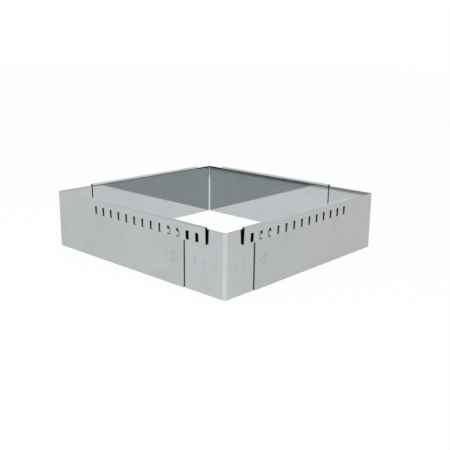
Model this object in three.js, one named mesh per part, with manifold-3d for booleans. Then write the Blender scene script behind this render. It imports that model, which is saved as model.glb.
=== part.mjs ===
// Adjustable baking frame: four bent sheet corners that slide in one another's folded rails.
// Millimetres, +Z up. The origin is the middle of the frame, on the surface that it stands on.

import * as THREE from 'three';
import { mergeVertices } from 'three/addons/utils/BufferGeometryUtils.js';
import Module from 'manifold-3d';

const wasm = await Module();
wasm.setup();

// The sheet and the walls that are bent from it
const SHEET = 0.6; // thickness of the sheet
const WALL_HEIGHT = 50.25; // height of every wall
const INNER_BEND = 2.4; // outer radius of an inner corner's bend
const OUTER_BEND = 1.4; // outer radius of an outer corner's bend, which is sharper
const END_ROUND = 1.2; // rounding of the lower corner at each free end of a wall

// The rail: an inner corner's top edge, folded outward and down over its neighbour's leg
const LEG_GAP = 0.25; // from the inner wall out to the leg
const LIP_GAP = 0.65; // from the leg out to the lip, at the fold
const LIP_LEAN = 0.45; // how far the lip's lower edge leans in towards the leg
const FOLD_RISE = 0.275; // from the walls' height up to where the fold starts
const LIP_DEPTH = 12.1; // from the walls' height down to the lip's lower edge
const LIP_START = 18; // from the corner's outer face to the lip's near end
const LIP_TAIL = 10.7; // from the last slot to the far end of lip and wall
const LIP_ROUND = 1.5; // rounding of the lip's lower corners

// The catch: a row of slots in each lip, and the lugs of a leg that stand in two of them
const PITCH = 10; // from slot to slot, which is one step of the frame's size
const SLOT_COUNT = 13;
const FIRST_SLOT = 26.7; // from the corner's outer face to the first slot
const SLOT_WIDTH = 3.3;
const SLOT_HEIGHT = 6.9;
const SLOT_ROUND = 0.3; // rounding of a slot's corners
const SLOT_SILL = 0.95; // strip of lip left below a slot
const LUG_COUNT = 2; // lugs on each leg
const LUG_WIDTH = 2.6;
const LUG_SET = 0.25; // from a slot's middle to its lug's, towards the side that holds the lug
const LUG_FOOT = 0.75; // from the slot's lower edge up to a lug
const LUG_HEAD = 2; // from a lug up to the slot's upper edge
const LUG_STEEP = 0.4; // length of the slope below a lug's crest
const LUG_RAMP = 0.8; // length of the slope above a lug's crest
const LUG_PROUD = 0.05; // how far a crest stands out of the lip
const LUG_SEAT = 0.05; // joint between a lug and its leg
const LUG_MARGIN = 5.25; // from the first lug to the leg's end

// The setting: clear size between the inner walls, in steps above the smallest size
const SMALLEST_SIZE = 182;
const WIDTH_STEPS = 2;
const DEPTH_STEPS = 1;

// Finish
const STEEL = { color: 0xc4c9cb, metalness: 1, roughness: 0.1 };
const BEND_STEPS = 5; // pairs of facets round a bend, a fold or a wall's end
const SLOT_STEPS = 1; // pairs of facets round a slot's corner

// Sizes that follow
const CHANNEL = LEG_GAP + SHEET + LIP_GAP; // clear width of the rail at its fold
const FOLD_RADIUS = CHANNEL / 2; // inner radius of the fold
const FOLD_LINE = WALL_HEIGHT + FOLD_RISE;
const LIP_BOTTOM = WALL_HEIGHT - LIP_DEPTH;
const LIP_FACE = CHANNEL + SHEET; // the lip's outer face at the fold, from the inner wall's outer face
const RAIL_LENGTH = FIRST_SLOT + (SLOT_COUNT - 1) * PITCH + LIP_TAIL;
const SLOT_BOTTOM = LIP_BOTTOM + SLOT_SILL;
const SLOT_MIDDLE = SLOT_BOTTOM + SLOT_HEIGHT / 2;
const LEAN_AT_SLOT = LIP_LEAN * (FOLD_LINE - SLOT_MIDDLE) / (FOLD_LINE - LIP_BOTTOM);
const LEG_FACE = LEG_GAP + SHEET; // the leg's outer face, from the inner wall's outer face
const SMALLEST_SPAN = SMALLEST_SIZE + 2 * SHEET; // over the inner corners' outer faces
const FIRST_LUG = SMALLEST_SPAN + LEG_FACE - FIRST_SLOT - LUG_SET; // from the outer corner's face
const LEG_LENGTH = FIRST_LUG + LUG_MARGIN;
const WIDTH = SMALLEST_SPAN + WIDTH_STEPS * PITCH;
const DEPTH = SMALLEST_SPAN + DEPTH_STEPS * PITCH;

// Every corner is drawn with its outer edge at the origin and its walls along +X and +Y.
const UP = new THREE.Vector3(0, 0, 1);
const WALLS = [
  { along: new THREE.Vector3(1, 0, 0), out: new THREE.Vector3(0, -1, 0) },
  { along: new THREE.Vector3(0, 1, 0), out: new THREE.Vector3(-1, 0, 0) },
];

function extrude(outline, depth, curveSegments = BEND_STEPS) {
  return new THREE.ExtrudeGeometry(outline, { depth, bevelEnabled: false, curveSegments });
}

function toSolid(geometry) {
  const bare = geometry.clone();
  bare.deleteAttribute('normal');
  bare.deleteAttribute('uv');
  const merged = mergeVertices(bare);
  const mesh = new wasm.Mesh({
    numProp: 3,
    vertProperties: merged.attributes.position.array,
    triVerts: Uint32Array.from(merged.index.array),
  });
  return new wasm.Manifold(mesh);
}

function toGeometry(solid) {
  const { vertProperties, triVerts } = solid.getMesh();
  const geometry = new THREE.BufferGeometry();
  geometry.setAttribute('position', new THREE.BufferAttribute(vertProperties, 3));
  geometry.setIndex(new THREE.BufferAttribute(triVerts, 1));
  geometry.computeVertexNormals();
  return geometry;
}

// Sweeps a section drawn in (outward, up) along a wall, between two distances from the corner.
function sweep(section, { along, out }, from, to) {
  const direction = new THREE.Vector3().crossVectors(out, UP);
  const start = direction.dot(along) > 0 ? from : to;
  const place = new THREE.Matrix4().makeBasis(out, UP, direction.multiplyScalar(to - from));
  place.setPosition(along.clone().multiplyScalar(start));
  return extrude(section, 1).applyMatrix4(place);
}

// Pushes an outline drawn in (along, up) outward at a distance from the corner, to cut a wall.
function punch(outline, { along, out }, distance, height, from, to, steps) {
  const right = new THREE.Vector3().crossVectors(UP, out);
  const place = new THREE.Matrix4().makeBasis(right, UP, out);
  const corner = along.clone().multiplyScalar(distance);
  place.setPosition(corner.addScaledVector(out, from).addScaledVector(UP, height));
  return toSolid(extrude(outline, to - from, steps).applyMatrix4(place));
}

// Two walls of one length and the bend between them.
function bentSheet(length, bend) {
  const inner = bend - SHEET;
  const outline = new THREE.Shape();
  outline.moveTo(length, 0);
  outline.lineTo(length, SHEET);
  outline.lineTo(bend, SHEET);
  outline.absarc(bend, bend, inner, -Math.PI / 2, -Math.PI, true);
  outline.lineTo(SHEET, length);
  outline.lineTo(0, length);
  outline.lineTo(0, bend);
  outline.absarc(bend, bend, bend, Math.PI, Math.PI * 1.5, false);
  outline.closePath();
  return toSolid(extrude(outline, WALL_HEIGHT));
}

// The waste below a sheet's rounded lower corner: two arcs that meet on the end it is cut from.
function cornerWaste(radius) {
  const waste = new THREE.Shape();
  waste.moveTo(-radius, -radius);
  waste.lineTo(radius, -radius);
  waste.lineTo(radius, 0);
  waste.absarc(radius, radius, radius, -Math.PI / 2, -Math.PI, true);
  waste.absarc(-radius, radius, radius, 0, -Math.PI / 2, true);
  waste.closePath();
  return waste;
}

// A bent sheet whose two walls have a rounded lower corner at their free ends.
function cornerSheet(length, bend) {
  const waste = cornerWaste(END_ROUND);
  return WALLS.reduce(
    (solid, wall) => solid.subtract(punch(waste, wall, length, 0, -2 * SHEET, SHEET)),
    bentSheet(length, bend),
  );
}

// Section of the fold and the lip, with a short stretch of the wall that it is folded from.
function railSection() {
  const section = new THREE.Shape();
  section.moveTo(-SHEET, LIP_BOTTOM);
  section.lineTo(0, LIP_BOTTOM);
  section.lineTo(0, FOLD_LINE);
  section.absarc(FOLD_RADIUS, FOLD_LINE, FOLD_RADIUS, Math.PI, 0, true);
  section.lineTo(CHANNEL - LIP_LEAN, LIP_BOTTOM);
  section.lineTo(LIP_FACE - LIP_LEAN, LIP_BOTTOM);
  section.lineTo(LIP_FACE, FOLD_LINE);
  section.absarc(FOLD_RADIUS, FOLD_LINE, FOLD_RADIUS + SHEET, 0, Math.PI, false);
  section.closePath();
  return section;
}

function slotOutline() {
  const x = SLOT_WIDTH / 2 - SLOT_ROUND;
  const y = SLOT_HEIGHT / 2 - SLOT_ROUND;
  const outline = new THREE.Shape();
  outline.absarc(x, -y, SLOT_ROUND, -Math.PI / 2, 0, false);
  outline.absarc(x, y, SLOT_ROUND, 0, Math.PI / 2, false);
  outline.absarc(-x, y, SLOT_ROUND, Math.PI / 2, Math.PI, false);
  outline.absarc(-x, -y, SLOT_ROUND, Math.PI, Math.PI * 1.5, false);
  outline.closePath();
  return outline;
}

// Everything that is cut out of a wall's lip: its lower corners and its slots.
function lipCuts(wall) {
  const from = CHANNEL - LIP_GAP;
  const to = LIP_FACE + LIP_GAP;
  const waste = cornerWaste(LIP_ROUND);
  const cuts = [LIP_START, RAIL_LENGTH].map((end) => punch(waste, wall, end, LIP_BOTTOM, from, to));
  const slot = slotOutline();
  for (let k = 0; k < SLOT_COUNT; k += 1) {
    cuts.push(punch(slot, wall, FIRST_SLOT + k * PITCH, SLOT_MIDDLE, from, to, SLOT_STEPS));
  }
  return cuts;
}

// An inner corner: the bend stands clear of the lips, and each wall ends in a slotted rail.
function innerCorner() {
  let solid = cornerSheet(RAIL_LENGTH, INNER_BEND);
  for (const wall of WALLS) {
    solid = solid.add(toSolid(sweep(railSection(), wall, LIP_START, RAIL_LENGTH)));
    solid = lipCuts(wall).reduce((rest, cut) => rest.subtract(cut), solid);
  }
  return toGeometry(solid);
}

// An outer corner: a plain bent sheet whose two legs run in the rails.
function outerCorner() {
  return toGeometry(cornerSheet(LEG_LENGTH, OUTER_BEND));
}

// A lug: a small bridge pressed out of the leg, steep below its crest and with a long slope above.
function lug(wall, distance) {
  const foot = SLOT_BOTTOM + LUG_FOOT;
  const head = SLOT_BOTTOM + SLOT_HEIGHT - LUG_HEAD;
  const height = LIP_GAP - LEAN_AT_SLOT + SHEET + LUG_PROUD;
  const section = new THREE.Shape();
  section.moveTo(LUG_SEAT, foot);
  section.lineTo(height, foot + LUG_STEEP);
  section.lineTo(height, head - LUG_RAMP);
  section.lineTo(LUG_SEAT, head);
  section.closePath();
  return sweep(section, wall, distance - LUG_WIDTH / 2, distance + LUG_WIDTH / 2);
}

function piece(name, geometry) {
  const mesh = new THREE.Mesh(geometry, new THREE.MeshStandardMaterial(STEEL));
  mesh.name = name;
  return mesh;
}

// Sets a corner of the frame, with its outer edge at (x, y), after some quarter turns.
function placeCorner(x, y, quarterTurns, pieces) {
  const group = new THREE.Group();
  group.position.set(x, y, 0);
  group.rotation.z = quarterTurns * Math.PI / 2;
  group.add(...pieces);
  return group;
}

function outerPieces(name, wallNames) {
  const pieces = [piece(name, outerCorner())];
  WALLS.forEach((wall, w) => {
    for (let k = 0; k < LUG_COUNT; k += 1) {
      pieces.push(piece(`${wallNames[w]}_catch_${k + 1}`, lug(wall, FIRST_LUG - k * PITCH)));
    }
  });
  return pieces;
}

const innerX = WIDTH / 2;
const innerY = DEPTH / 2;
const outerX = innerX + LEG_FACE;
const outerY = innerY + LEG_FACE;

const bakingFrame = new THREE.Group();
bakingFrame.name = 'adjustable_baking_frame';
bakingFrame.add(
  placeCorner(innerX, -innerY, 1, [piece('front_right_corner', innerCorner())]),
  placeCorner(-innerX, innerY, 3, [piece('rear_left_corner', innerCorner())]),
  placeCorner(-outerX, -outerY, 0, outerPieces('front_left_corner', ['front', 'left'])),
  placeCorner(outerX, outerY, 2, outerPieces('rear_right_corner', ['rear', 'right'])),
);

export default bakingFrame;
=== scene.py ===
"""Adjustable baking frame: bent sheet corners, pressed lugs, stamped marks and a plain studio.

Metres, +Z up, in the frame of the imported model.
"""

import math

import bmesh
import bpy
from mathutils import Matrix, Vector


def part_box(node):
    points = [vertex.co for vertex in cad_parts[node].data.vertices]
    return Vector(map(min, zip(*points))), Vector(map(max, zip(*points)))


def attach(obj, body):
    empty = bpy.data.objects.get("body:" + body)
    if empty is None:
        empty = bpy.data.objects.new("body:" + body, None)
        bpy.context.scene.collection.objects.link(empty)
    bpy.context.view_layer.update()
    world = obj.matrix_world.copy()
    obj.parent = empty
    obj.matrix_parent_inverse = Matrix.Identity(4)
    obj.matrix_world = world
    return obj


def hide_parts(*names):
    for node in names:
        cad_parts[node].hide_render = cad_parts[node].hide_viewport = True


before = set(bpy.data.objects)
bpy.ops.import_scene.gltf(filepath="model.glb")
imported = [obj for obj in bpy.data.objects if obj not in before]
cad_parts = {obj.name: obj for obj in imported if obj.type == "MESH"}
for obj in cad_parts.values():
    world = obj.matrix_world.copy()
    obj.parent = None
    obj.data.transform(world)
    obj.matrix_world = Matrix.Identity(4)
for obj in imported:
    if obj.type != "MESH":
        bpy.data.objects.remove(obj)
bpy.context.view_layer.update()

MM = 0.001
CLOSE = 0.01 * MM  # measures this near are taken as the same
WELD = 0.001 * MM  # points this near become one
QUARTER = math.pi / 2

# The sheet, its bends and its edges
SHEET = 0.6 * MM
INNER_BEND = 2.4 * MM
OUTER_BEND = 1.4 * MM
BEND_STEPS = 24
END_ROUND = 1.2 * MM
TOP_ROUND = 0.5 * MM
ROUND_STEPS = 6
EDGE_EASE = 0.1 * MM  # rounding that the shears and the tumbling leave on a cut edge
EDGE_STEPS = 2
EDGE_ANGLE = math.radians(35)  # edges sharper than this are eased
FLAT_HOLD = 0.3 * MM  # strip beside a bend that keeps the flat next to it flat
COLLAR_SHADE_BAND = 1.2 * MM  # dark band of painted shade inside, along the top beside a plain bend

# How much painted highlight (more than 0) or painted shade (less than 0) a cut edge or the sheet gets
SILL_PAINTED_HIGHLIGHT = 1.0  # a slot's sill, painted lighter as a highlight
COLLAR_PAINTED_SHADE = -0.57  # the band along a collar's top, painted dark as shade
RAIL_END_PAINTED_SHADE = -0.55  # a rail wall's free end, painted dark as shade
LEG_END_PAINTED_LIGHT = 0.1  # a leg's free end, painted a little lighter
BEND_PAINTED_HIGHLIGHT = 1.0  # painted highlight on the bend between two walls
HIGHLIGHTED_SHARE = 0.96  # how much of that bend's turn gets the painted highlight
FOLD_START_PAINTED_SHADE = -2.0  # painted shade where a fold leaves the wall
CROWN_PAINTED_HIGHLIGHT = {"front_right": 0.0, "rear_left": 1.7}  # painted highlight on the top of a corner's folds
CROWN_START = 0.45 * MM  # from the fold's line down to the lower end of that top, on the wall side

# The rail along the top of an inner corner
LEG_GAP = 0.25 * MM
LIP_GAP = 0.65 * MM  # at the fold
LIP_LEAN = 0.45 * MM  # how far the lip's lower edge leans in towards the leg
FOLD_RISE = 0.275 * MM
FOLD_EASE = 0.8 * MM  # how much lower the fold starts on the wall than on the lip
FOLD_STEPS = 20
LIP_DEPTH = 12.1 * MM
LIP_START = 18.0 * MM
LIP_ROUND = 1.5 * MM
RELIEF_WIDTH = 0.5 * MM  # nick that lets the fold start beside the plain bend
RELIEF_DEPTH = 0.9 * MM

# The slots of a rail
PITCH = 10.0 * MM
SLOT_COUNT = 13
FIRST_SLOT = 26.7 * MM
SLOT_WIDTH = 3.3 * MM
SLOT_HEIGHT = 6.9 * MM
SLOT_ROUND = 0.3 * MM
SLOT_STEPS = 3
SLOT_SILL = 0.95 * MM

# The lugs pressed out of a leg
LUG_WIDTH = 2.6 * MM
LUG_FOOT = 0.75 * MM  # from the slot's lower edge up to the lug
LUG_HEAD = 2.0 * MM  # from the slot's upper edge down to the lug
LUG_LOWER_SLOPE = 0.4 * MM
LUG_UPPER_SLOPE = 0.8 * MM
LUG_PROUD = 0.05 * MM
LUG_ROOT = 0.2 * MM  # how deep a lug's foot runs into the sheet it is pressed from
LUG_COLUMNS = 10
LUG_ROWS = 28
LUG_CROWNING = 0.03  # share of its height that a lug loses towards its sides

# The stamped marks
STROKE_COUNT = 12
FIRST_STROKE = 10.9 * MM  # from the corner to the first stroke of the scale
STROKE_WIDTH = 0.5 * MM
STROKE_HEIGHT = 5.4 * MM
STROKE_MIDDLE = 23.4 * MM
STROKE_RELIEF = 0.04 * MM
STROKE_SECTION = (  # across it and out of the sheet, as shares of its width and relief
    (-0.5, -1.0), (-0.5, 0.0), (-0.25, 1.0), (0.25, 1.0), (0.5, 0.0), (0.5, -1.0),
)
STROKE_LEVELS = ((-0.5, 0.4), (-0.45, 1.0), (0.45, 1.0), (0.5, 0.4))  # up it, and its width there
ARROW_TIP = 5.3 * MM  # from the leg's end
ARROW_LENGTH = 7.0 * MM
ARROW_HALF = 4.2 * MM
ARROW_MIDDLE = 22.4 * MM
ARROW_BEAD = 0.36 * MM  # radius of the raised line
ARROW_SUNK = 0.2 * MM  # how deep the line's middle lies in the sheet
ARROW_STEPS = 3

# Sizes that follow
CHANNEL = LEG_GAP + SHEET + LIP_GAP
FOLD_RADIUS = CHANNEL / 2
LIP_FACE = CHANNEL + SHEET
LEG_FACE = LEG_GAP + SHEET

inner_low, inner_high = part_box("front_right_corner")
outer_low, outer_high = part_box("front_left_corner")
WALL_HEIGHT = outer_high.z
LEG_LENGTH = outer_high.x - outer_low.x
RAIL_LENGTH = inner_high.x - inner_low.x - LIP_FACE
FOLD_LINE = WALL_HEIGHT + FOLD_RISE
LIP_BOTTOM = WALL_HEIGHT - LIP_DEPTH
SLOT_BOTTOM = LIP_BOTTOM + SLOT_SILL
SLOT_MIDDLE = SLOT_BOTTOM + SLOT_HEIGHT / 2
INNER_X = inner_high.x - LIP_FACE
INNER_Y = -inner_low.y - LIP_FACE
OUTER_X = -outer_low.x
OUTER_Y = -outer_low.y

# A wall's own axes are along it, out of it and up; a corner has one wall along +X and one along +Y.
WALLS = (
    Matrix(((1, 0, 0), (0, -1, 0), (0, 0, 1))),
    Matrix(((0, -1, 0), (1, 0, 0), (0, 0, 1))),
)


def corner_place(x, y, quarter_turns):
    return Matrix.Translation((x, y, 0)) @ Matrix.Rotation(quarter_turns * QUARTER, 4, "Z")


INNER_CORNERS = {
    "front_right": (corner_place(INNER_X, -INNER_Y, 1), ("right", "front")),
    "rear_left": (corner_place(-INNER_X, INNER_Y, 3), ("left", "rear")),
}
OUTER_CORNERS = {
    "front_left": (corner_place(-OUTER_X, -OUTER_Y, 0), ("front", "left")),
    "rear_right": (corner_place(OUTER_X, OUTER_Y, 2), ("rear", "right")),
}


# Shader groups

def shader_group(name, inputs, outputs):
    """An empty node group with named sockets, and its input and output nodes."""
    group = bpy.data.node_groups.new(name, "ShaderNodeTree")
    for label, kind in inputs:
        group.interface.new_socket(label, in_out="INPUT", socket_type="NodeSocket" + kind)
    for label, kind in outputs:
        group.interface.new_socket(label, in_out="OUTPUT", socket_type="NodeSocket" + kind)
    return group, group.nodes.new("NodeGroupInput"), group.nodes.new("NodeGroupOutput")


def add_node(tree, kind, values=None, **settings):
    """A node with its settings made and its input values set by name."""
    made = tree.nodes.new("ShaderNode" + kind)
    for setting, value in settings.items():
        setattr(made, setting, value)
    for label, value in (values or {}).items():
        made.inputs[label].default_value = value
    return made


def rolled_clouding_group():
    """Soft clouds that rolling and pickling leave in the tone of bright sheet."""
    group, start, end = shader_group(
        "rolled clouding",
        [("Position", "Vector"), ("Tone", "Color"), ("Clouds per metre", "Float"), ("Depth", "Float")],
        [("Colour", "Color")],
    )
    link = group.links.new
    broad = add_node(group, "TexNoise", {"Detail": 4.0, "Roughness": 0.6, "Distortion": 0.4})
    spread = add_node(group, "MapRange", {"From Min": 0.3, "From Max": 0.7, "To Min": -1.0, "To Max": 1.0})
    depth = add_node(group, "Math", operation="MULTIPLY")
    gain = add_node(group, "Math", {1: 1.0}, operation="ADD")
    toned = add_node(group, "VectorMath", operation="SCALE")
    link(start.outputs["Position"], broad.inputs["Vector"])
    link(start.outputs["Clouds per metre"], broad.inputs["Scale"])
    link(broad.outputs["Fac"], spread.inputs["Value"])
    link(spread.outputs["Result"], depth.inputs[0])
    link(start.outputs["Depth"], depth.inputs[1])
    link(depth.outputs["Value"], gain.inputs[0])
    link(start.outputs["Tone"], toned.inputs["Vector"])
    link(gain.outputs["Value"], toned.inputs["Scale"])
    link(toned.outputs["Vector"], end.inputs["Colour"])
    return group


def handling_haze_group():
    """Patches where washing and handling have dulled the bright finish."""
    group, start, end = shader_group(
        "handling haze",
        [("Position", "Vector"), ("Patches per metre", "Float"), ("Clear", "Float"), ("Hazy", "Float")],
        [("Roughness", "Float")],
    )
    link = group.links.new
    patches = add_node(group, "TexNoise", {"Detail": 5.0, "Roughness": 0.65, "Distortion": 0.8})
    spread = add_node(group, "MapRange", {"From Min": 0.38, "From Max": 0.68})
    link(start.outputs["Position"], patches.inputs["Vector"])
    link(start.outputs["Patches per metre"], patches.inputs["Scale"])
    link(patches.outputs["Fac"], spread.inputs["Value"])
    link(start.outputs["Clear"], spread.inputs["To Min"])
    link(start.outputs["Hazy"], spread.inputs["To Max"])
    link(spread.outputs["Result"], end.inputs["Roughness"])
    return group


def rolling_grain_group():
    """Faint level lines that the rolls leave along the length of the sheet."""
    group, start, end = shader_group(
        "rolling grain",
        [("Position", "Vector"), ("Lines per metre", "Float"), ("Stretch", "Float")],
        [("Height", "Float")],
    )
    link = group.links.new
    apart = add_node(group, "SeparateXYZ")
    along_x = add_node(group, "Math", operation="DIVIDE")
    along_y = add_node(group, "Math", operation="DIVIDE")
    drawn_out = add_node(group, "CombineXYZ")
    lines = add_node(group, "TexNoise", {"Detail": 3.0, "Roughness": 0.5})
    link(start.outputs["Position"], apart.inputs["Vector"])
    for axis, along in (("X", along_x), ("Y", along_y)):
        link(apart.outputs[axis], along.inputs[0])
        link(start.outputs["Stretch"], along.inputs[1])
        link(along.outputs["Value"], drawn_out.inputs[axis])
    link(apart.outputs["Z"], drawn_out.inputs["Z"])
    link(drawn_out.outputs["Vector"], lines.inputs["Vector"])
    link(start.outputs["Lines per metre"], lines.inputs["Scale"])
    link(lines.outputs["Fac"], end.inputs["Height"])
    return group


def painted_light_and_shade_group():
    """Paints light on steel where the value is more than 0, and shade where it is less than 0."""
    group, start, end = shader_group(
        "painted light and shade",
        [("Colour", "Color"), ("Painted light", "Float"), ("Gain", "Float")],
        [("Colour", "Color")],
    )
    link = group.links.new
    share = add_node(group, "Math", {2: 1.0}, operation="MULTIPLY_ADD")
    painted_light = add_node(group, "VectorMath", operation="SCALE")
    link(start.outputs["Painted light"], share.inputs[0])
    link(start.outputs["Gain"], share.inputs[1])
    link(start.outputs["Colour"], painted_light.inputs["Vector"])
    link(share.outputs["Value"], painted_light.inputs["Scale"])
    link(painted_light.outputs["Vector"], end.inputs["Colour"])
    return group


ROLLED_CLOUDING = rolled_clouding_group()
HANDLING_HAZE = handling_haze_group()
ROLLING_GRAIN = rolling_grain_group()
PAINTED_LIGHT_AND_SHADE = painted_light_and_shade_group()


# Materials

def add_group(tree, group, values):
    """A group placed in a material with its own values."""
    return add_node(tree, "Group", values, node_tree=group)


def new_material(name):
    """A material, its tree, its Principled shader and the object's own coordinates."""
    material = bpy.data.materials.new(name)
    material.use_nodes = True
    tree = material.node_tree
    position = add_node(tree, "TexCoord").outputs["Object"]
    return material, tree, tree.nodes["Principled BSDF"], position


GRAIN_STRETCH = 40.0  # length of a rolling line against its width
HAZE_PER_CLOUD = 2.5  # hazy patches for each cloud along the sheet


def steel(name, tone, clouds, cloud_depth, clear, hazy, lines, grain, gain=0.0, gained="painted_light"):
    """Stainless steel: clouded tone, hazy patches, rolling lines and places brightened or darkened as
    painted light and shade.
    """
    material, tree, shader, position = new_material(name)
    link = tree.links.new
    shader.inputs["Metallic"].default_value = 1.0
    clouding = add_group(
        tree, ROLLED_CLOUDING, {"Tone": (*tone, 1.0), "Clouds per metre": clouds, "Depth": cloud_depth}
    )
    haze = add_group(
        tree, HANDLING_HAZE, {"Patches per metre": HAZE_PER_CLOUD * clouds, "Clear": clear, "Hazy": hazy}
    )
    rolled = add_group(tree, ROLLING_GRAIN, {"Lines per metre": lines, "Stretch": GRAIN_STRETCH})
    bump = add_node(tree, "Bump", {"Strength": 1.0, "Distance": grain})
    for effect in (clouding, haze, rolled):
        link(position, effect.inputs["Position"])
    colour = clouding.outputs["Colour"]
    if gain:
        painted_light = add_node(tree, "Attribute", attribute_name=gained)
        painting = add_group(tree, PAINTED_LIGHT_AND_SHADE, {"Gain": gain})
        link(painted_light.outputs["Fac"], painting.inputs["Painted light"])
        link(colour, painting.inputs["Colour"])
        colour = painting.outputs["Colour"]
    link(colour, shader.inputs["Base Color"])
    link(haze.outputs["Roughness"], shader.inputs["Roughness"])
    link(rolled.outputs["Height"], bump.inputs["Height"])
    link(bump.outputs["Normal"], shader.inputs["Normal"])
    return material


# gain: how strongly the painted light and shade show on the sheet
BRIGHT_SHEET = {"clear": 0.03, "hazy": 0.06, "lines": 900.0, "grain": 1e-7, "gain": 0.17}
INNER_SHEET = {"clouds": 40.0, "cloud_depth": 0.035, **BRIGHT_SHEET}
OUTER_SHEET = {"clouds": 34.0, "cloud_depth": 0.04, **BRIGHT_SHEET}
CORNER_STEEL = {
    # The rear left corner is painted lighter and bluer than the front right one, as painted light for how
    # bright its inner faces look
    "front_right": steel("front right corner steel", (0.505, 0.54, 0.542), **INNER_SHEET),
    "rear_left": steel("rear left corner steel", (0.516, 0.55, 0.566), **INNER_SHEET),
    "front_left": steel("front left corner steel", (0.488, 0.523, 0.523), **OUTER_SHEET),
    "rear_right": steel("rear right corner steel", (0.488, 0.522, 0.525), **OUTER_SHEET),
}
# Painted shade: the faces inside the rail's channel are painted near black, standing for the shade in the
# fold and behind the free slots
CHANNEL_SHADE_STEEL = steel(
    "steel painted with the shade inside the fold", (0.12, 0.13, 0.135),
    clouds=120.0, cloud_depth=0.12, clear=0.12, hazy=0.2, lines=1500.0, grain=3e-7,
)
# Sheared edges are duller steel, and are painted darker still as shade so that slot sides look as dark as
# the slots; painted light and shade on them comes on top
EDGE_STEEL = steel(
    "sheared edge steel with painted light and shade", (0.25, 0.265, 0.275),
    clouds=300.0, cloud_depth=0.12, clear=0.12, hazy=0.25, lines=4000.0, grain=1e-6,
    gain=1.6, gained="edge_light_and_shade",
)
LUG_STEEL = steel(
    "pressed lug steel", (0.5, 0.535, 0.535),
    clouds=200.0, cloud_depth=0.05, clear=0.12, hazy=0.2, lines=2500.0, grain=1e-6,
)
# Painted shade: the stamped marks are darker steel, standing for the shade along their relief
MARK_SHADE_STEEL = steel(
    "stamped mark steel painted with its shade", (0.33, 0.352, 0.357),
    clouds=200.0, cloud_depth=0.06, clear=0.15, hazy=0.25, lines=2500.0, grain=1e-6,
)

# A sheet's faces look into the rail's channel, painted dark as its shade, into the open, or into the open
# with a dark band of painted shade on their other side. Thickening gives that other side the next finish in
# the corner's list, and a rim the third on.
CHANNEL_SIDE, OPEN_SIDE, BANDED_SIDE = range(3)
OTHER_SIDE = 1
RIM = 3
LUG_CUT = 1  # a lug's cut sides take the second of its two finishes


# Sheet corners

def arc(middle_along, middle_up, radius, start, stop, steps):
    """Points (along, up) on an arc, both ends included."""
    angles = [start + (stop - start) * step / steps for step in range(steps + 1)]
    return [(middle_along + radius * math.cos(a), middle_up + radius * math.sin(a)) for a in angles]


def wall_face(bm, wall, points):
    """A face in a wall's own axes; its points run anticlockwise seen from out of the first wall."""
    placed = [wall @ Vector(point) for point in points]
    if wall.determinant() > 0:
        placed.reverse()
    return bm.faces.new([bm.verts.new(point) for point in placed])


def corner_bend(bm, radius, painted_light, band):
    """The bend between the two walls with its painted highlight, the narrow strip of flat on each side, and
    the band of painted shade along its top.
    """
    levels = (0, WALL_HEIGHT - band, WALL_HEIGHT) if band else (0, WALL_HEIGHT)
    sections = []
    for step in range(BEND_STEPS + 1):
        turn = math.pi + QUARTER * step / BEND_STEPS
        across = radius * (1 + math.cos(turn))
        ahead = radius * (1 + math.sin(turn))
        bend_highlight = BEND_PAINTED_HIGHLIGHT if abs(step / BEND_STEPS - 0.5) < HIGHLIGHTED_SHARE / 2 else 0.0
        column = [bm.verts.new((across, ahead, up)) for up in levels]
        for vertex in column:
            vertex[painted_light] = bend_highlight
        sections.append(column)
    for row, (low, high) in enumerate(zip(levels, levels[1:])):
        made = []
        for left, right in zip(sections, sections[1:]):
            made.append(bm.faces.new((left[row], right[row], right[row + 1], left[row + 1])))
        for wall in WALLS:
            made.append(wall_face(bm, wall, [
                (radius, 0, low), (radius + FLAT_HOLD, 0, low),
                (radius + FLAT_HOLD, 0, high), (radius, 0, high),
            ]))
        for face in made:
            face.material_index = BANDED_SIDE if row else OPEN_SIDE


def lower_end(length):
    """The rounded lower corner of a wall's free end."""
    return arc(length - END_ROUND, END_ROUND, END_ROUND, -QUARTER, 0, ROUND_STEPS)


def leg_panel(bm, wall):
    """The flat of an outer corner's leg."""
    upper = arc(LEG_LENGTH - TOP_ROUND, WALL_HEIGHT - TOP_ROUND, TOP_ROUND, 0, QUARTER, ROUND_STEPS)
    start = OUTER_BEND + FLAT_HOLD
    outline = [(start, 0), *lower_end(LEG_LENGTH), *upper, (start, WALL_HEIGHT)]
    flat = wall_face(bm, wall, [(along, 0, up) for along, up in outline])
    flat.material_index = OPEN_SIDE


def slot_middles():
    return [FIRST_SLOT + count * PITCH for count in range(SLOT_COUNT)]


def rail_columns():
    """Where a rail is divided: its ends, the middle of each slot and halfway between slots."""
    columns = [LIP_START]
    for middle in slot_middles():
        columns += [middle, middle + PITCH / 2]
    return columns + [RAIL_LENGTH]


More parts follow.
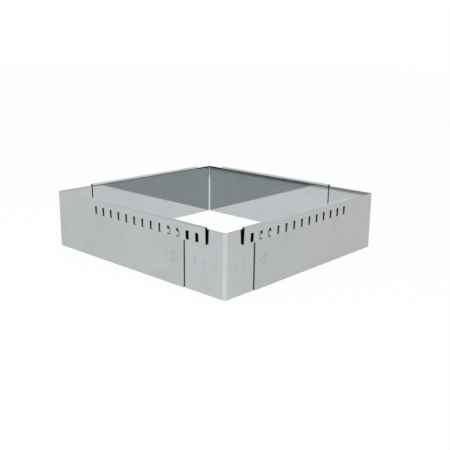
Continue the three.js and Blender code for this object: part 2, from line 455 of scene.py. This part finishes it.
def rail_panel(bm, wall, columns):
    """The flat of an inner corner's wall, up to the fold, with the nick beside the plain bend."""
    top = FOLD_LINE - FOLD_EASE - FLAT_HOLD
    nick = WALL_HEIGHT - RELIEF_DEPTH
    band = WALL_HEIGHT - COLLAR_SHADE_BAND
    start = INNER_BEND + FLAT_HOLD
    plain = [(start, 0), *lower_end(RAIL_LENGTH), (RAIL_LENGTH, LIP_BOTTOM), (LIP_START, LIP_BOTTOM)]
    collar_end = LIP_START - RELIEF_WIDTH
    plain += [(LIP_START, nick), (collar_end, nick), (collar_end, band), (start, band)]
    collar = [(start, band), (collar_end, band), (collar_end, nick)]
    collar += [(collar_end, WALL_HEIGHT), (start, WALL_HEIGHT)]
    hidden = [(LIP_START, LIP_BOTTOM), (RAIL_LENGTH, LIP_BOTTOM)]
    hidden += [(along, top) for along in reversed(columns)]
    hidden += [(LIP_START, nick)]
    open_face = wall_face(bm, wall, [(along, 0, up) for along, up in plain])
    open_face.material_index = OPEN_SIDE
    collar_face = wall_face(bm, wall, [(along, 0, up) for along, up in collar])
    collar_face.material_index = BANDED_SIDE
    hidden_face = wall_face(bm, wall, [(along, 0, up) for along, up in hidden])
    hidden_face.material_index = CHANNEL_SIDE


def rail_fold(bm, wall, columns):
    """The fold from the wall's outer face over to the lip's inner face."""
    start = FOLD_LINE - FOLD_EASE
    stretch = (FOLD_RADIUS + FOLD_EASE) / FOLD_RADIUS
    rising = arc(FOLD_RADIUS, 0, FOLD_RADIUS, math.pi, QUARTER, FOLD_STEPS)
    section = [(0, start - FLAT_HOLD)]
    section += [(out, start + stretch * up) for out, up in rising]
    section += arc(FOLD_RADIUS, FOLD_LINE, FOLD_RADIUS, QUARTER, 0, FOLD_STEPS)[1:]
    section += [(lip_out(FOLD_LINE - FLAT_HOLD), FOLD_LINE - FLAT_HOLD)]
    for (out, up), (next_out, next_up) in zip(section, section[1:]):
        for along, next_along in zip(columns, columns[1:]):
            wall_face(bm, wall, [
                (along, out, up), (next_along, out, up),
                (next_along, next_out, next_up), (along, next_out, next_up),
            ])


def lip_out(up):
    """How far out the lip's inner face stands at a height, as it leans in from the fold."""
    return CHANNEL - LIP_LEAN * (FOLD_LINE - up) / (FOLD_LINE - LIP_BOTTOM)


def slot_side(middle, side):
    """Half of a slot's outline (along, up), from its lower to its upper middle, on one side."""
    inset = SLOT_WIDTH / 2 - SLOT_ROUND
    low = SLOT_BOTTOM + SLOT_ROUND
    high = SLOT_BOTTOM + SLOT_HEIGHT - SLOT_ROUND
    half = [(0, SLOT_BOTTOM)]
    half += arc(inset, low, SLOT_ROUND, -QUARTER, 0, SLOT_STEPS)
    half += arc(inset, high, SLOT_ROUND, 0, QUARTER, SLOT_STEPS)
    half += [(0, SLOT_BOTTOM + SLOT_HEIGHT)]
    return [(middle + side * along, up) for along, up in half]


def lip_corner(edge, side):
    """The rounded lower corner (along, up) at an end of a lip, from its side round to its lower edge."""
    round_middle = edge - side * LIP_ROUND
    quarter = arc(0, LIP_BOTTOM + LIP_ROUND, LIP_ROUND, 0, -QUARTER, ROUND_STEPS)
    return [(round_middle + side * along, up) for along, up in quarter]


def slotted_lip(bm, wall, columns, edge_light_and_shade):
    """The lip's inner face: on each side of every slot's middle, one face round half of the slot."""
    top = FOLD_LINE - FLAT_HOLD
    for middle in slot_middles():
        place = columns.index(middle)
        for side, edge in ((-1, columns[place - 1]), (1, columns[place + 1])):
            outline = lip_corner(edge, side) if edge == LIP_START else [(edge, LIP_BOTTOM)]
            outline += [(middle, LIP_BOTTOM), *slot_side(middle, side), (middle, top), (edge, top)]
            if side < 0:
                outline.reverse()
            half = wall_face(bm, wall, [(along, lip_out(up), up) for along, up in outline])
            for vertex in half.verts:
                # painted highlight along each slot's sill
                vertex[edge_light_and_shade] = SILL_PAINTED_HIGHLIGHT if abs(vertex.co.z - SLOT_BOTTOM) < CLOSE else 0.0
    last = columns[-2]
    tail = [(last, top), (RAIL_LENGTH, top), *lip_corner(RAIL_LENGTH, 1), (last, LIP_BOTTOM)]
    wall_face(bm, wall, [(along, lip_out(up), up) for along, up in tail])


def add_object(name, data):
    made = bpy.data.objects.new(name, data)
    bpy.context.scene.collection.objects.link(made)
    return made


def new_piece(name, bm, place, materials):
    """An object made in a corner's own axes, smooth all over, standing in the frame."""
    bmesh.ops.transform(bm, matrix=place, verts=bm.verts)
    mesh = bpy.data.meshes.new(name)
    bm.to_mesh(mesh)
    bm.free()
    mesh.polygons.foreach_set("use_smooth", [True] * len(mesh.polygons))
    for material in materials:
        mesh.materials.append(material)
    return add_object(name, mesh)


def ease_edges(made):
    """Rounds the sharp edges of a piece a little."""
    ease = made.modifiers.new("eased edges", "BEVEL")
    ease.width = EDGE_EASE
    ease.segments = EDGE_STEPS
    ease.limit_method = "ANGLE"
    ease.angle_limit = EDGE_ANGLE
    ease.use_clamp_overlap = False
    ease.harden_normals = True
    ease.loop_slide = False


def mark_leg(bm, edge_light_and_shade):
    """Paints a little light on a leg sheet's free ends."""
    for vertex in bm.verts:
        if max(vertex.co.x, vertex.co.y) > LEG_LENGTH - CLOSE:
            vertex[edge_light_and_shade] = LEG_END_PAINTED_LIGHT


def mark_rail(bm, painted_light, edge_light_and_shade, crown_painted_highlight):
    """Paints light and shade on a rail sheet's free ends, collar band and folds."""
    collar_end = LIP_START - RELIEF_WIDTH + CLOSE
    for vertex in bm.verts:
        along = max(vertex.co.x, vertex.co.y)
        if along > RAIL_LENGTH - CLOSE:
            vertex[edge_light_and_shade] = RAIL_END_PAINTED_SHADE
        elif along < collar_end and vertex.co.z > WALL_HEIGHT - COLLAR_SHADE_BAND - CLOSE:
            vertex[edge_light_and_shade] = COLLAR_PAINTED_SHADE
        if along > collar_end:
            on_wall_side = min(vertex.co.x, vertex.co.y) > -FOLD_RADIUS
            if vertex.co.z > FOLD_LINE - (CROWN_START if on_wall_side else 0.0):
                vertex[painted_light] = crown_painted_highlight
            elif on_wall_side and vertex.co.z > FOLD_LINE - FOLD_EASE - CLOSE:
                vertex[painted_light] = FOLD_START_PAINTED_SHADE


def bent_corner(name, place, steel_finish, is_rail, crown_painted_highlight=0.0):
    """A whole corner as one sheet: the face towards the rail's channel, thickened to the other side."""
    bm = bmesh.new()
    bm.verts.layers.float.new("painted_light")
    bm.verts.layers.float.new("edge_light_and_shade")
    painted_light = bm.verts.layers.float["painted_light"]
    edge_light_and_shade = bm.verts.layers.float["edge_light_and_shade"]
    if is_rail:
        corner_bend(bm, INNER_BEND, painted_light, COLLAR_SHADE_BAND)
    else:
        corner_bend(bm, OUTER_BEND, painted_light, 0)
    columns = rail_columns()
    for wall in WALLS:
        if is_rail:
            rail_panel(bm, wall, columns)
            rail_fold(bm, wall, columns)
            slotted_lip(bm, wall, columns, edge_light_and_shade)
        else:
            leg_panel(bm, wall)
    bmesh.ops.remove_doubles(bm, verts=bm.verts, dist=WELD)
    if is_rail:
        mark_rail(bm, painted_light, edge_light_and_shade, crown_painted_highlight)
    else:
        mark_leg(bm, edge_light_and_shade)
    finishes = (CHANNEL_SHADE_STEEL, steel_finish, steel_finish, EDGE_STEEL, EDGE_STEEL)
    made = new_piece(name, bm, place, finishes)
    thickness = made.modifiers.new("sheet thickness", "SOLIDIFY")
    thickness.thickness = SHEET
    thickness.offset = -1.0
    thickness.use_even_offset = True
    thickness.use_quality_normals = True
    thickness.material_offset = OTHER_SIDE
    thickness.material_offset_rim = RIM
    ease_edges(made)
    return made


# Lugs

def ramp(rise):
    """A smooth step from 0 to 1."""
    held = min(max(rise, 0.0), 1.0)
    return held * held * (3 - 2 * held)


def pressed_lug(name, wall, distance, place):
    """A lug pressed out of the leg: steep below its crest, a long slope above, cut free at its sides."""
    bm = bmesh.new()
    foot = SLOT_BOTTOM + LUG_FOOT
    head = SLOT_BOTTOM + SLOT_HEIGHT - LUG_HEAD
    crest = lip_out(SLOT_MIDDLE) + SHEET + LUG_PROUD - LEG_FACE
    grid = []
    for row in range(LUG_ROWS + 1):
        up = foot + (head - foot) * row / LUG_ROWS
        rise = ramp((up - foot) / LUG_LOWER_SLOPE) * ramp((head - up) / LUG_UPPER_SLOPE)
        line = []
        for column in range(LUG_COLUMNS + 1):
            across = 2 * column / LUG_COLUMNS - 1
            out = crest * rise * (1 - LUG_CROWNING * across ** 4)
            line.append(bm.verts.new(wall @ Vector((distance + across * LUG_WIDTH / 2, out, up))))
        grid.append(line)
    for lower, upper in zip(grid, grid[1:]):
        for c in range(LUG_COLUMNS):
            bm.faces.new((lower[c], lower[c + 1], upper[c + 1], upper[c]))
    rim = [edge for edge in bm.edges if edge.is_boundary]
    skirt = bmesh.ops.extrude_edge_only(bm, edges=rim)["geom"]
    to_wall = wall.inverted()
    for vertex in [part for part in skirt if isinstance(part, bmesh.types.BMVert)]:
        along, _, up = to_wall @ vertex.co
        vertex.co = wall @ Vector((along, -LUG_ROOT, up))
    for face in [part for part in skirt if isinstance(part, bmesh.types.BMFace)]:
        face.material_index = LUG_CUT
    bmesh.ops.holes_fill(bm, edges=[edge for edge in bm.edges if edge.is_boundary])
    bmesh.ops.remove_doubles(bm, verts=bm.verts, dist=WELD)
    bmesh.ops.recalc_face_normals(bm, faces=bm.faces)
    made = new_piece(name, bm, place, (LUG_STEEL, EDGE_STEEL))
    ease_edges(made)
    return made


# Stamped marks

def arrow_mark(name, wall, place):
    """A raised outline of a triangle that points along the leg to the size that is set."""
    curve = bpy.data.curves.new(name, "CURVE")
    curve.dimensions = "3D"
    curve.bevel_depth = ARROW_BEAD
    curve.bevel_resolution = ARROW_STEPS
    tip = LEG_LENGTH - ARROW_TIP
    base = tip - ARROW_LENGTH
    line = curve.splines.new("POLY")
    line.points.add(2)
    line.use_cyclic_u = True
    corners = [(tip, 0), (base, ARROW_HALF), (base, -ARROW_HALF)]
    for point, (along, rise) in zip(line.points, corners):
        spot = place @ (wall @ Vector((along, -ARROW_SUNK, ARROW_MIDDLE + rise)))
        point.co = (*spot, 1.0)
    curve.materials.append(MARK_SHADE_STEEL)
    return add_object(name, curve)


def size_scale(name, wall, place):
    """The row of strokes, one for each step, that the end of the leg uncovers one by one."""
    bm = bmesh.new()
    for count in range(STROKE_COUNT):
        middle = FIRST_STROKE + count * PITCH
        ends = []
        for up, width in STROKE_LEVELS:
            ends.append([
                bm.verts.new(wall @ Vector((
                    middle + across * width * STROKE_WIDTH,
                    rise * STROKE_RELIEF,
                    STROKE_MIDDLE + up * STROKE_HEIGHT,
                )))
                for across, rise in STROKE_SECTION
            ])
        for lower, upper in zip(ends, ends[1:]):
            for c in range(len(STROKE_SECTION) - 1):
                bm.faces.new((lower[c], lower[c + 1], upper[c + 1], upper[c]))
        bm.faces.new(ends[0])
        bm.faces.new(ends[-1])
    bmesh.ops.recalc_face_normals(bm, faces=bm.faces)
    return new_piece(name, bm, place, (MARK_SHADE_STEEL,))


# The frame put together

for body, (place, wall_names) in INNER_CORNERS.items():
    corner = bent_corner(body + "_rail_sheet", place, CORNER_STEEL[body], True, CROWN_PAINTED_HIGHLIGHT[body])
    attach(corner, body)
    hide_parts(body + "_corner")
    for wall, wall_name in zip(WALLS, wall_names):
        scale = size_scale(wall_name + "_size_scale", wall, place)
        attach(scale, body)

for body, (place, wall_names) in OUTER_CORNERS.items():
    corner = bent_corner(body + "_leg_sheet", place, CORNER_STEEL[body], False)
    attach(corner, body)
    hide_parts(body + "_corner")
    for wall, wall_name in zip(WALLS, wall_names):
        arrow = arrow_mark(wall_name + "_size_arrow", wall, place)
        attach(arrow, body)
        for count in (1, 2):
            catch = f"{wall_name}_catch_{count}"
            low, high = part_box(catch)
            middle = wall.inverted() @ (place.inverted() @ ((low + high) / 2))
            lug = pressed_lug(f"{wall_name}_lug_{count}", wall, middle.x, place)
            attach(lug, body)
            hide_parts(catch)


# Studio

FLOOR_SIZE = 12.0
FLOOR_TONE = (0.97, 0.97, 0.97)
FLOOR_CLOUDS = {"Clouds per metre": 6.0, "Depth": 0.01}
FLOOR_ROUGHNESS = 0.9
FLOOR_SPECULAR = 0.1
FLOOR_TO_EYE = 0.96  # share of plain white in the floor as the eye sees it; the rest holds the shadow
FLOOR_IN_METAL = 0.92  # the same share as the metal mirrors it
WHITE = (1.0, 1.0, 1.0, 1.0)
FLOOR_FRONT_FAR = (0.943, 0.946, 0.946, 1.0)  # its white in the front walls, at their far end
FLOOR_RIGHT_NEAR = (0.957, 0.942, 0.94, 1.0)  # its white in the right walls, near the camera
FLOOR_RIGHT_FAR = (0.925, 0.868, 0.85, 1.0)  # and at their far end, where it is warmer
FLOOR_ACROSS = (0.71, -0.66, 0.0)  # across the way in which the walls mirror the floor
FLOOR_NEAR = 0.14  # along that, from the frame's middle to the corner near the camera
MIRRORINGS = 4.0  # it grows darker each time that a wall mirrors it in another, up to this many times
FLOOR_LAST_MIRRORED = 0.355  # how bright it is then
FILL_TONE = (0.53, 0.55, 0.58, 1.0)  # the world's cool light on what isn't a mirror
ROOM_TONE = (0.78, 0.75, 0.71, 1.0)  # the room above and behind the camera, as the folds mirror it
ROOM_SIDE = (0.68, -0.73, 1.0)
ROOM_EDGE = {"From Min": 0.05, "From Max": 0.3}  # how far that way the room begins and is full
SOFTBOX_PLACE = Vector((0.05, -0.4, 0.75))
SOFTBOX_SIZE = 0.5
SOFTBOX_POWER = 2.8


def floor_in_metal(tree, position):
    """The floor's white as the metal mirrors it: by the wall it lies before, and along that wall."""
    link = tree.links.new
    apart = add_node(tree, "SeparateXYZ")
    across = add_node(tree, "VectorMath", {1: FLOOR_ACROSS}, operation="DOT_PRODUCT")
    away = add_node(tree, "MapRange", {"From Min": FLOOR_NEAR, "From Max": 0.0})
    is_right = add_node(tree, "Math", {1: INNER_X}, operation="GREATER_THAN")
    is_front = add_node(tree, "Math", {1: -INNER_Y}, operation="LESS_THAN")
    right = add_node(tree, "Mix", {"A": FLOOR_RIGHT_NEAR, "B": FLOOR_RIGHT_FAR}, data_type="RGBA")
    front = add_node(tree, "Mix", {"A": WHITE, "B": FLOOR_FRONT_FAR}, data_type="RGBA")
    with_right = add_node(tree, "Mix", {"A": WHITE}, data_type="RGBA")
    with_front = add_node(tree, "Mix", data_type="RGBA")
    link(position, apart.inputs["Vector"])
    link(position, across.inputs[0])
    link(across.outputs["Value"], away.inputs["Value"])
    link(apart.outputs["X"], is_right.inputs[0])
    link(apart.outputs["Y"], is_front.inputs[0])
    link(away.outputs["Result"], right.inputs["Factor"])
    link(away.outputs["Result"], front.inputs["Factor"])
    link(is_right.outputs["Value"], with_right.inputs["Factor"])
    link(right.outputs["Result"], with_right.inputs["B"])
    link(is_front.outputs["Value"], with_front.inputs["Factor"])
    link(with_right.outputs["Result"], with_front.inputs["A"])
    link(front.outputs["Result"], with_front.inputs["B"])
    return with_front.outputs["Result"]


def pale_floor():
    """A pale matt floor, mostly plain white to the eye and in the metal, the rest left to the light."""
    material, tree, shader, position = new_material("pale studio floor")
    link = tree.links.new
    clouding = add_group(tree, ROLLED_CLOUDING, {"Tone": (*FLOOR_TONE, 1.0), **FLOOR_CLOUDS})
    shader.inputs["Roughness"].default_value = FLOOR_ROUGHNESS
    shader.inputs["Specular IOR Level"].default_value = FLOOR_SPECULAR
    white = add_node(tree, "Emission")
    rays = add_node(tree, "LightPath")
    direct = add_node(tree, "Math", operation="MAXIMUM")
    to_eye = add_node(tree, "Math", {1: FLOOR_TO_EYE}, operation="MULTIPLY")
    strength = add_node(tree, "MapRange", {
        "From Min": 1.0, "From Max": MIRRORINGS, "To Min": 1.0, "To Max": FLOOR_LAST_MIRRORED,
    })
    tone = add_node(tree, "Mix", {"A": WHITE}, data_type="RGBA")
    mirrored = add_node(tree, "Math", {1: FLOOR_IN_METAL}, operation="MULTIPLY")
    share = add_node(tree, "Math", operation="MAXIMUM")
    both = add_node(tree, "MixShader")
    link(position, clouding.inputs["Position"])
    link(clouding.outputs["Colour"], shader.inputs["Base Color"])
    link(rays.outputs["Is Camera Ray"], direct.inputs[0])
    link(rays.outputs["Is Transmission Ray"], direct.inputs[1])
    link(direct.outputs["Value"], to_eye.inputs[0])
    link(rays.outputs["Ray Depth"], strength.inputs["Value"])
    link(strength.outputs["Result"], white.inputs["Strength"])
    link(rays.outputs["Is Glossy Ray"], tone.inputs["Factor"])
    link(floor_in_metal(tree, position), tone.inputs["B"])
    link(tone.outputs["Result"], white.inputs["Color"])
    link(rays.outputs["Is Glossy Ray"], mirrored.inputs[0])
    link(to_eye.outputs["Value"], share.inputs[0])
    link(mirrored.outputs["Value"], share.inputs[1])
    link(share.outputs["Value"], both.inputs["Fac"])
    link(shader.outputs["BSDF"], both.inputs[1])
    link(white.outputs["Emission"], both.inputs[2])
    link(both.outputs["Shader"], tree.nodes["Material Output"].inputs["Surface"])
    bm = bmesh.new()
    bmesh.ops.create_grid(bm, x_segments=1, y_segments=1, size=FLOOR_SIZE / 2)
    floor = new_piece("studio_floor", bm, Matrix.Identity(4), (material,))


def white_world():
    """White all round to the eye and in the metal, but for the grey room above and behind the camera."""
    world = bpy.data.worlds.new("white studio")
    world.use_nodes = True
    tree = world.node_tree
    link = tree.links.new
    background = tree.nodes["Background"]
    rays = add_node(tree, "LightPath")
    either = add_node(tree, "Math", operation="MAXIMUM")
    seen = add_node(tree, "Math", operation="MAXIMUM")
    light = add_node(tree, "Mix", {"A": FILL_TONE}, data_type="RGBA")
    direction = add_node(tree, "TexCoord")
    towards_room = add_node(tree, "VectorMath", {1: ROOM_SIDE}, operation="DOT_PRODUCT")
    room = add_node(tree, "MapRange", ROOM_EDGE, interpolation_type="SMOOTHSTEP")
    mirrored = add_node(tree, "Math", operation="MULTIPLY")
    colour = add_node(tree, "Mix", {"A": WHITE, "B": ROOM_TONE}, data_type="RGBA")
    link(rays.outputs["Is Camera Ray"], either.inputs[0])
    link(rays.outputs["Is Glossy Ray"], either.inputs[1])
    link(either.outputs["Value"], seen.inputs[0])
    link(rays.outputs["Is Transmission Ray"], seen.inputs[1])
    link(seen.outputs["Value"], light.inputs["Factor"])
    link(direction.outputs["Generated"], towards_room.inputs[0])
    link(towards_room.outputs["Value"], room.inputs["Value"])
    link(room.outputs["Result"], mirrored.inputs[0])
    link(rays.outputs["Is Glossy Ray"], mirrored.inputs[1])
    link(mirrored.outputs["Value"], colour.inputs["Factor"])
    link(colour.outputs["Result"], light.inputs["B"])
    link(light.outputs["Result"], background.inputs["Color"])
    bpy.context.scene.world = world


def softbox():
    """A soft lamp above and before the frame, which the metal doesn't mirror."""
    lamp = bpy.data.lights.new("softbox", "AREA")
    lamp.shape = "SQUARE"
    lamp.size = SOFTBOX_SIZE
    lamp.energy = SOFTBOX_POWER
    holder = add_object("softbox", lamp)
    holder.location = SOFTBOX_PLACE
    holder.rotation_euler = SOFTBOX_PLACE.to_track_quat("Z", "Y").to_euler()
    holder.visible_glossy = False


# Camera: the photograph's view, found from the slots, the ends of lips and legs and the outlines
VIEW_AZIMUTH = math.radians(42.748)
VIEW_ELEVATION = math.radians(14.777)
VIEW_ROLL = math.radians(0.557)
VIEW_DISTANCE = 586.503 * MM
VIEW_TARGET = Vector((19.938, -8.869, 25.0)) * MM
PICTURE_WIDTH = 450  # pixels
FOCAL_LENGTH = 665.748  # pixels
SENSOR_WIDTH = 36.0  # millimetres, as the camera counts it
NEAREST_SEEN = 10 * MM


def photograph_camera():
    """The camera that the photograph was taken with."""
    level = math.cos(VIEW_ELEVATION)
    back = Vector((
        math.sin(VIEW_AZIMUTH) * level, -math.cos(VIEW_AZIMUTH) * level, math.sin(VIEW_ELEVATION)
    ))
    right = Vector((0, 0, 1)).cross(back).normalized()
    up = back.cross(right)
    axes = Matrix((right, up, back)).transposed()
    camera = bpy.data.cameras.new("photograph camera")
    camera.sensor_width = SENSOR_WIDTH
    camera.lens = SENSOR_WIDTH * FOCAL_LENGTH / PICTURE_WIDTH
    camera.clip_start = NEAREST_SEEN
    holder = add_object("photograph_camera", camera)
    turned = axes.to_4x4() @ Matrix.Rotation(VIEW_ROLL, 4, "Z")
    holder.matrix_world = Matrix.Translation(VIEW_TARGET + VIEW_DISTANCE * back) @ turned
    bpy.context.scene.camera = holder


pale_floor()
white_world()
softbox()
photograph_camera()
bpy.context.scene.view_settings.view_transform = "Standard"
